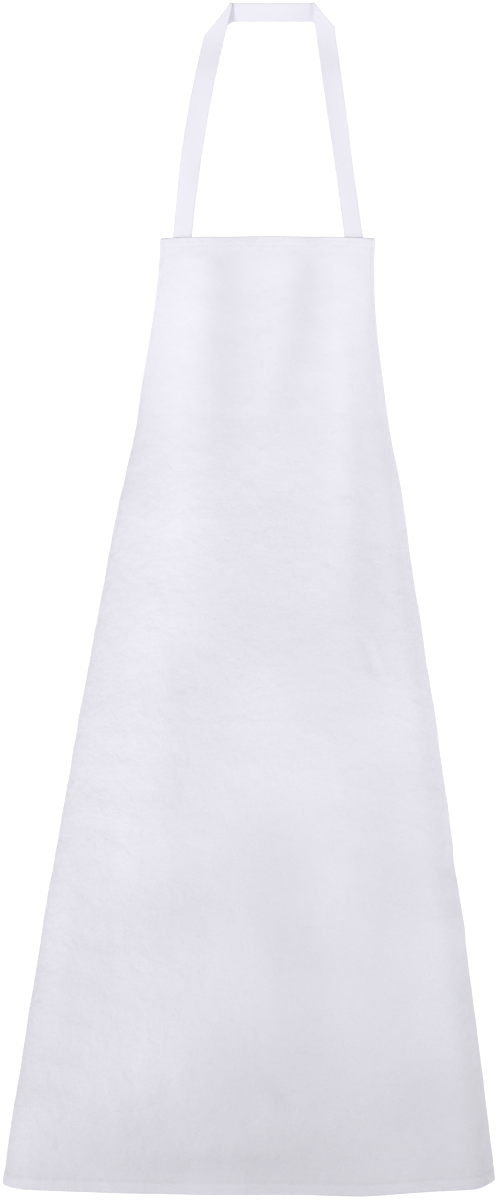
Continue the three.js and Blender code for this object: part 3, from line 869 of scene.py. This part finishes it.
# ------------------------------------------------------------------ making the apron
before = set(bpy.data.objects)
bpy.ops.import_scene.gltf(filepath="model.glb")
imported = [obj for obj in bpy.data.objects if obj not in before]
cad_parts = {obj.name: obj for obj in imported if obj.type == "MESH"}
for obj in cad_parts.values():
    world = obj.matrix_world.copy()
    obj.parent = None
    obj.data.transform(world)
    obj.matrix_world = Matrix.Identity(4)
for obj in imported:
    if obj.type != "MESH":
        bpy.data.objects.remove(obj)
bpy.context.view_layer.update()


def finish_piece(obj, look, slot, *nodes):
    obj.data.materials.clear()
    obj.data.materials.append(look)
    if nodes:
        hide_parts(*nodes)
    return obj


def on_cloth(obj):
    """Bakes the piece's placement into its mesh."""
    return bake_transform(obj)


side_hems = ("armhole_hem_upper", "armhole_hem_lower", "side_hem")
hems = ["top_hem", "bottom_hem", *(f"{hem}_{word}" for hem in side_hems for word in ("left", "right"))]
cloth = finish_piece(make_cloth(), CLOTH_LOOK, "cloth", "bib_panel", "skirt_panel", *hems)
on_cloth(cloth)

front_thread, back_thread = 0.02, BACK_MIDDLE + CLOTH
seam_inset = EDGE_HEM - STITCH_INSET


def level_seam(name, drop, node):
    half = float(half_cut(drop)) - 1.5
    spots = np.linspace(-half, half, 700)
    path = np.stack([spots, np.full_like(spots, drop)], -1)
    obj = seam(name, path, front_thread, back_thread)
    return on_cloth(finish_piece(obj, THREAD_LOOK, "thread", node))


seams = [
    level_seam("stitches_top_hem", TOP_HEM - STITCH_INSET, "top_hem_stitching"),
    level_seam("stitches_bottom_hem", BODY_LENGTH - BOTTOM_HEM + STITCH_INSET, "bottom_hem_stitching"),
]
runs = [
    ("armhole_upper", TOP_HEM, FOLD_DROP, "armhole_stitching_upper"),
    ("armhole_lower", FOLD_DROP, WAIST_DROP + 2, "armhole_stitching_lower"),
    ("side", WAIST_DROP + 2, BODY_LENGTH - BOTTOM_HEM + 1, "side_stitching"),
]
for word, side in (("left", -1), ("right", 1)):
    for run, start, end, node in runs:
        drops = np.linspace(start, end, 1400)
        alongs = side * (half_cut(drops) - across(seam_inset, drops))
        path = np.stack([alongs, drops], -1)
        obj = seam(f"stitches_{run}_{word}", path, front_thread, back_thread)
        on_cloth(finish_piece(obj, THREAD_LOOK, "thread", f"{node}_{word}"))
        seams.append(obj)

nape = finish_piece(nape_run(), TAPE_LOOK, "tape", "neck_tape_nape")
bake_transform(nape)
for word, side in (("left", -1), ("right", 1)):
    leg = finish_piece(neck_leg(side), TAPE_LOOK, "tape", f"neck_tape_{word}")
    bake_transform(leg)
    roll = finish_piece(fold_roll(side), TAPE_LOOK, "tape")
    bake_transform(roll)

    middle_drops = np.linspace(1, NECK_TAB - 1.2, 16)
    tab_drops = np.concatenate([[-1.3, -0.8, -0.2], middle_drops, [NECK_TAB - 0.5, NECK_TAB]])
    tab = tab_on_cloth(f"tape_neck_tab_{word}", STRAP_REACH, tab_drops, side)
    on_cloth(finish_piece(tab, TAPE_LOOK, "tape", f"neck_tab_{word}"))
    tack_drop = NECK_TAB - 2 * STITCH_INSET
    half_tack = TAPE_WIDTH / 2 - STITCH_INSET
    ends = [(side * STRAP_REACH - half_tack, tack_drop), (side * STRAP_REACH + half_tack, tack_drop)]
    tack = bartack(f"bartack_neck_{word}", ends, TACK_DEPTH, TACK_WIDTH, cloth_point)
    on_cloth(finish_piece(tack, THREAD_LOOK, "thread", f"neck_bartack_{word}"))

    tie_body = f"tie_{word}"
    tie, hanging = waist_tie(side)
    finish_piece(tie, TAPE_LOOK, "tape", f"waist_tie_{word}")
    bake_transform(tie)
    hem, stitches = tie_end(side, hanging)
    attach(finish_piece(hem, TAPE_LOOK, "tape", f"tie_end_hem_{word}"), tie_body)
    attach(finish_piece(stitches, THREAD_LOOK, "thread"), tie_body)
    tab = finish_piece(tie_tab(side), TAPE_LOOK, "tape", f"tie_tab_{word}")
    on_cloth(tab)
    tack_drops = (WAIST_DROP + TIE_DROP + STITCH_INSET, WAIST_DROP + TIE_DROP + TAPE_WIDTH - STITCH_INSET)
    tack_inset = EDGE_HEM + 1.5 * STITCH_INSET
    ends = [(side * (float(half_cut(d)) - tack_inset), d) for d in tack_drops]
    tack = bartack(f"bartack_tie_{word}", ends, TACK_DEPTH, TACK_WIDTH, surface)
    on_cloth(finish_piece(tack, THREAD_LOOK, "thread", f"tie_bartack_{word}"))

# ------------------------------------------------------------------ floor, light and camera
scene = bpy.context.scene
FLOOR_Z = -1.50
FLOOR_REACH = 40
# centre of the floor's painted shadow, in front of the apron
PAINTED_SHADOW_Y = -0.55


def make_floor():
    """A wide pale floor that glows, with a round painted shadow where it is less bright, just in front of
    the apron; the dimmer glow there also sends less light up onto the apron.
    """
    steps = 25
    line = np.linspace(-FLOOR_REACH / MM, FLOOR_REACH / MM, steps)
    x, y = np.meshgrid(line, line[::-1])
    points = np.stack([x, y, np.full_like(x, FLOOR_Z / MM)], -1).reshape(-1, 3)
    obj = new_mesh("floor", points, grid_quads(steps, steps))
    n = Nodes("glowing_floor_painted_shadow")
    place = n.add("ShaderNodeTexCoord").outputs["Object"]
    parts = n.add("ShaderNodeSeparateXYZ", {0: place})
    off_y = n.math("POWER", n.math("ADD", parts.outputs[1], -PAINTED_SHADOW_Y), 2.0)
    near = n.math("ADD", off_y, n.math("POWER", parts.outputs[0], 2.0))
    # painted shadow: the floor's glow is dimmed near that centre
    glow = n.ranged(n.math("SQRT", near), (0.1, 0.95), (0.4, 1.02))
    matte = n.add("ShaderNodeBsdfDiffuse", {"Color": (0.12, 0.12, 0.12, 1)})
    light = n.add("ShaderNodeEmission", {"Strength": glow})
    both = n.add("ShaderNodeAddShader", {0: matte.outputs[0], 1: light.outputs[0]})
    n.add("ShaderNodeOutputMaterial", {"Surface": both.outputs[0]})
    obj.data.materials.append(n.material)


def make_world():
    """A white sky behind the apron, and a dimmer studio round the rest."""
    world = bpy.data.worlds.new("studio")
    scene.world = world
    world.use_nodes = True
    tree = world.node_tree
    tree.nodes.clear()
    place = tree.nodes.new("ShaderNodeTexCoord")
    parts = tree.nodes.new("ShaderNodeSeparateXYZ")
    tree.links.new(place.outputs["Generated"], parts.inputs[0])
    behind = tree.nodes.new("ShaderNodeMapRange")
    behind.interpolation_type = "SMOOTHSTEP"
    for key, value in (("From Min", 0.80), ("From Max", 0.94), ("To Min", 0.38), ("To Max", 1.04)):
        behind.inputs[key].default_value = value
    tree.links.new(parts.outputs[1], behind.inputs["Value"])
    background = tree.nodes.new("ShaderNodeBackground")
    background.inputs["Color"].default_value = (1, 1, 1, 1)
    tree.links.new(behind.outputs[0], background.inputs["Strength"])
    out = tree.nodes.new("ShaderNodeOutputWorld")
    tree.links.new(background.outputs[0], out.inputs[0])


def add_light(name, place, target, size, watts):
    data = bpy.data.lights.new(name, "AREA")
    data.shape = "RECTANGLE"
    data.size, data.size_y = size
    data.energy = watts
    lamp = bpy.data.objects.new(name, data)
    scene.collection.objects.link(lamp)
    lamp.location = place
    lamp.rotation_mode = "QUATERNION"
    lamp.rotation_quaternion = (Vector(target) - Vector(place)).to_track_quat("-Z", "Y")


make_floor()
make_world()
add_light("key", (-2.3, -2.4, -0.38), (0.0, -0.12, -0.58), (0.9, 0.9), 40.5)
add_light("fill", (1.6, -1.7, -0.50), (0.05, -0.12, -0.60), (0.8, 0.9), 5.5)
add_light("side", (1.4, -0.40, -0.38), (0.15, -0.12, -0.42), (0.5, 0.9), 5.0)

camera_data = bpy.data.cameras.new("camera")
camera_data.lens = 91.3
camera_data.sensor_width = 36
camera = bpy.data.objects.new("camera", camera_data)
scene.collection.objects.link(camera)
camera.location = (-0.0214, -3.6197, -0.6987)
camera.rotation_euler = (math.pi / 2, 0, 0)
scene.camera = camera
scene.view_settings.view_transform = "Standard"
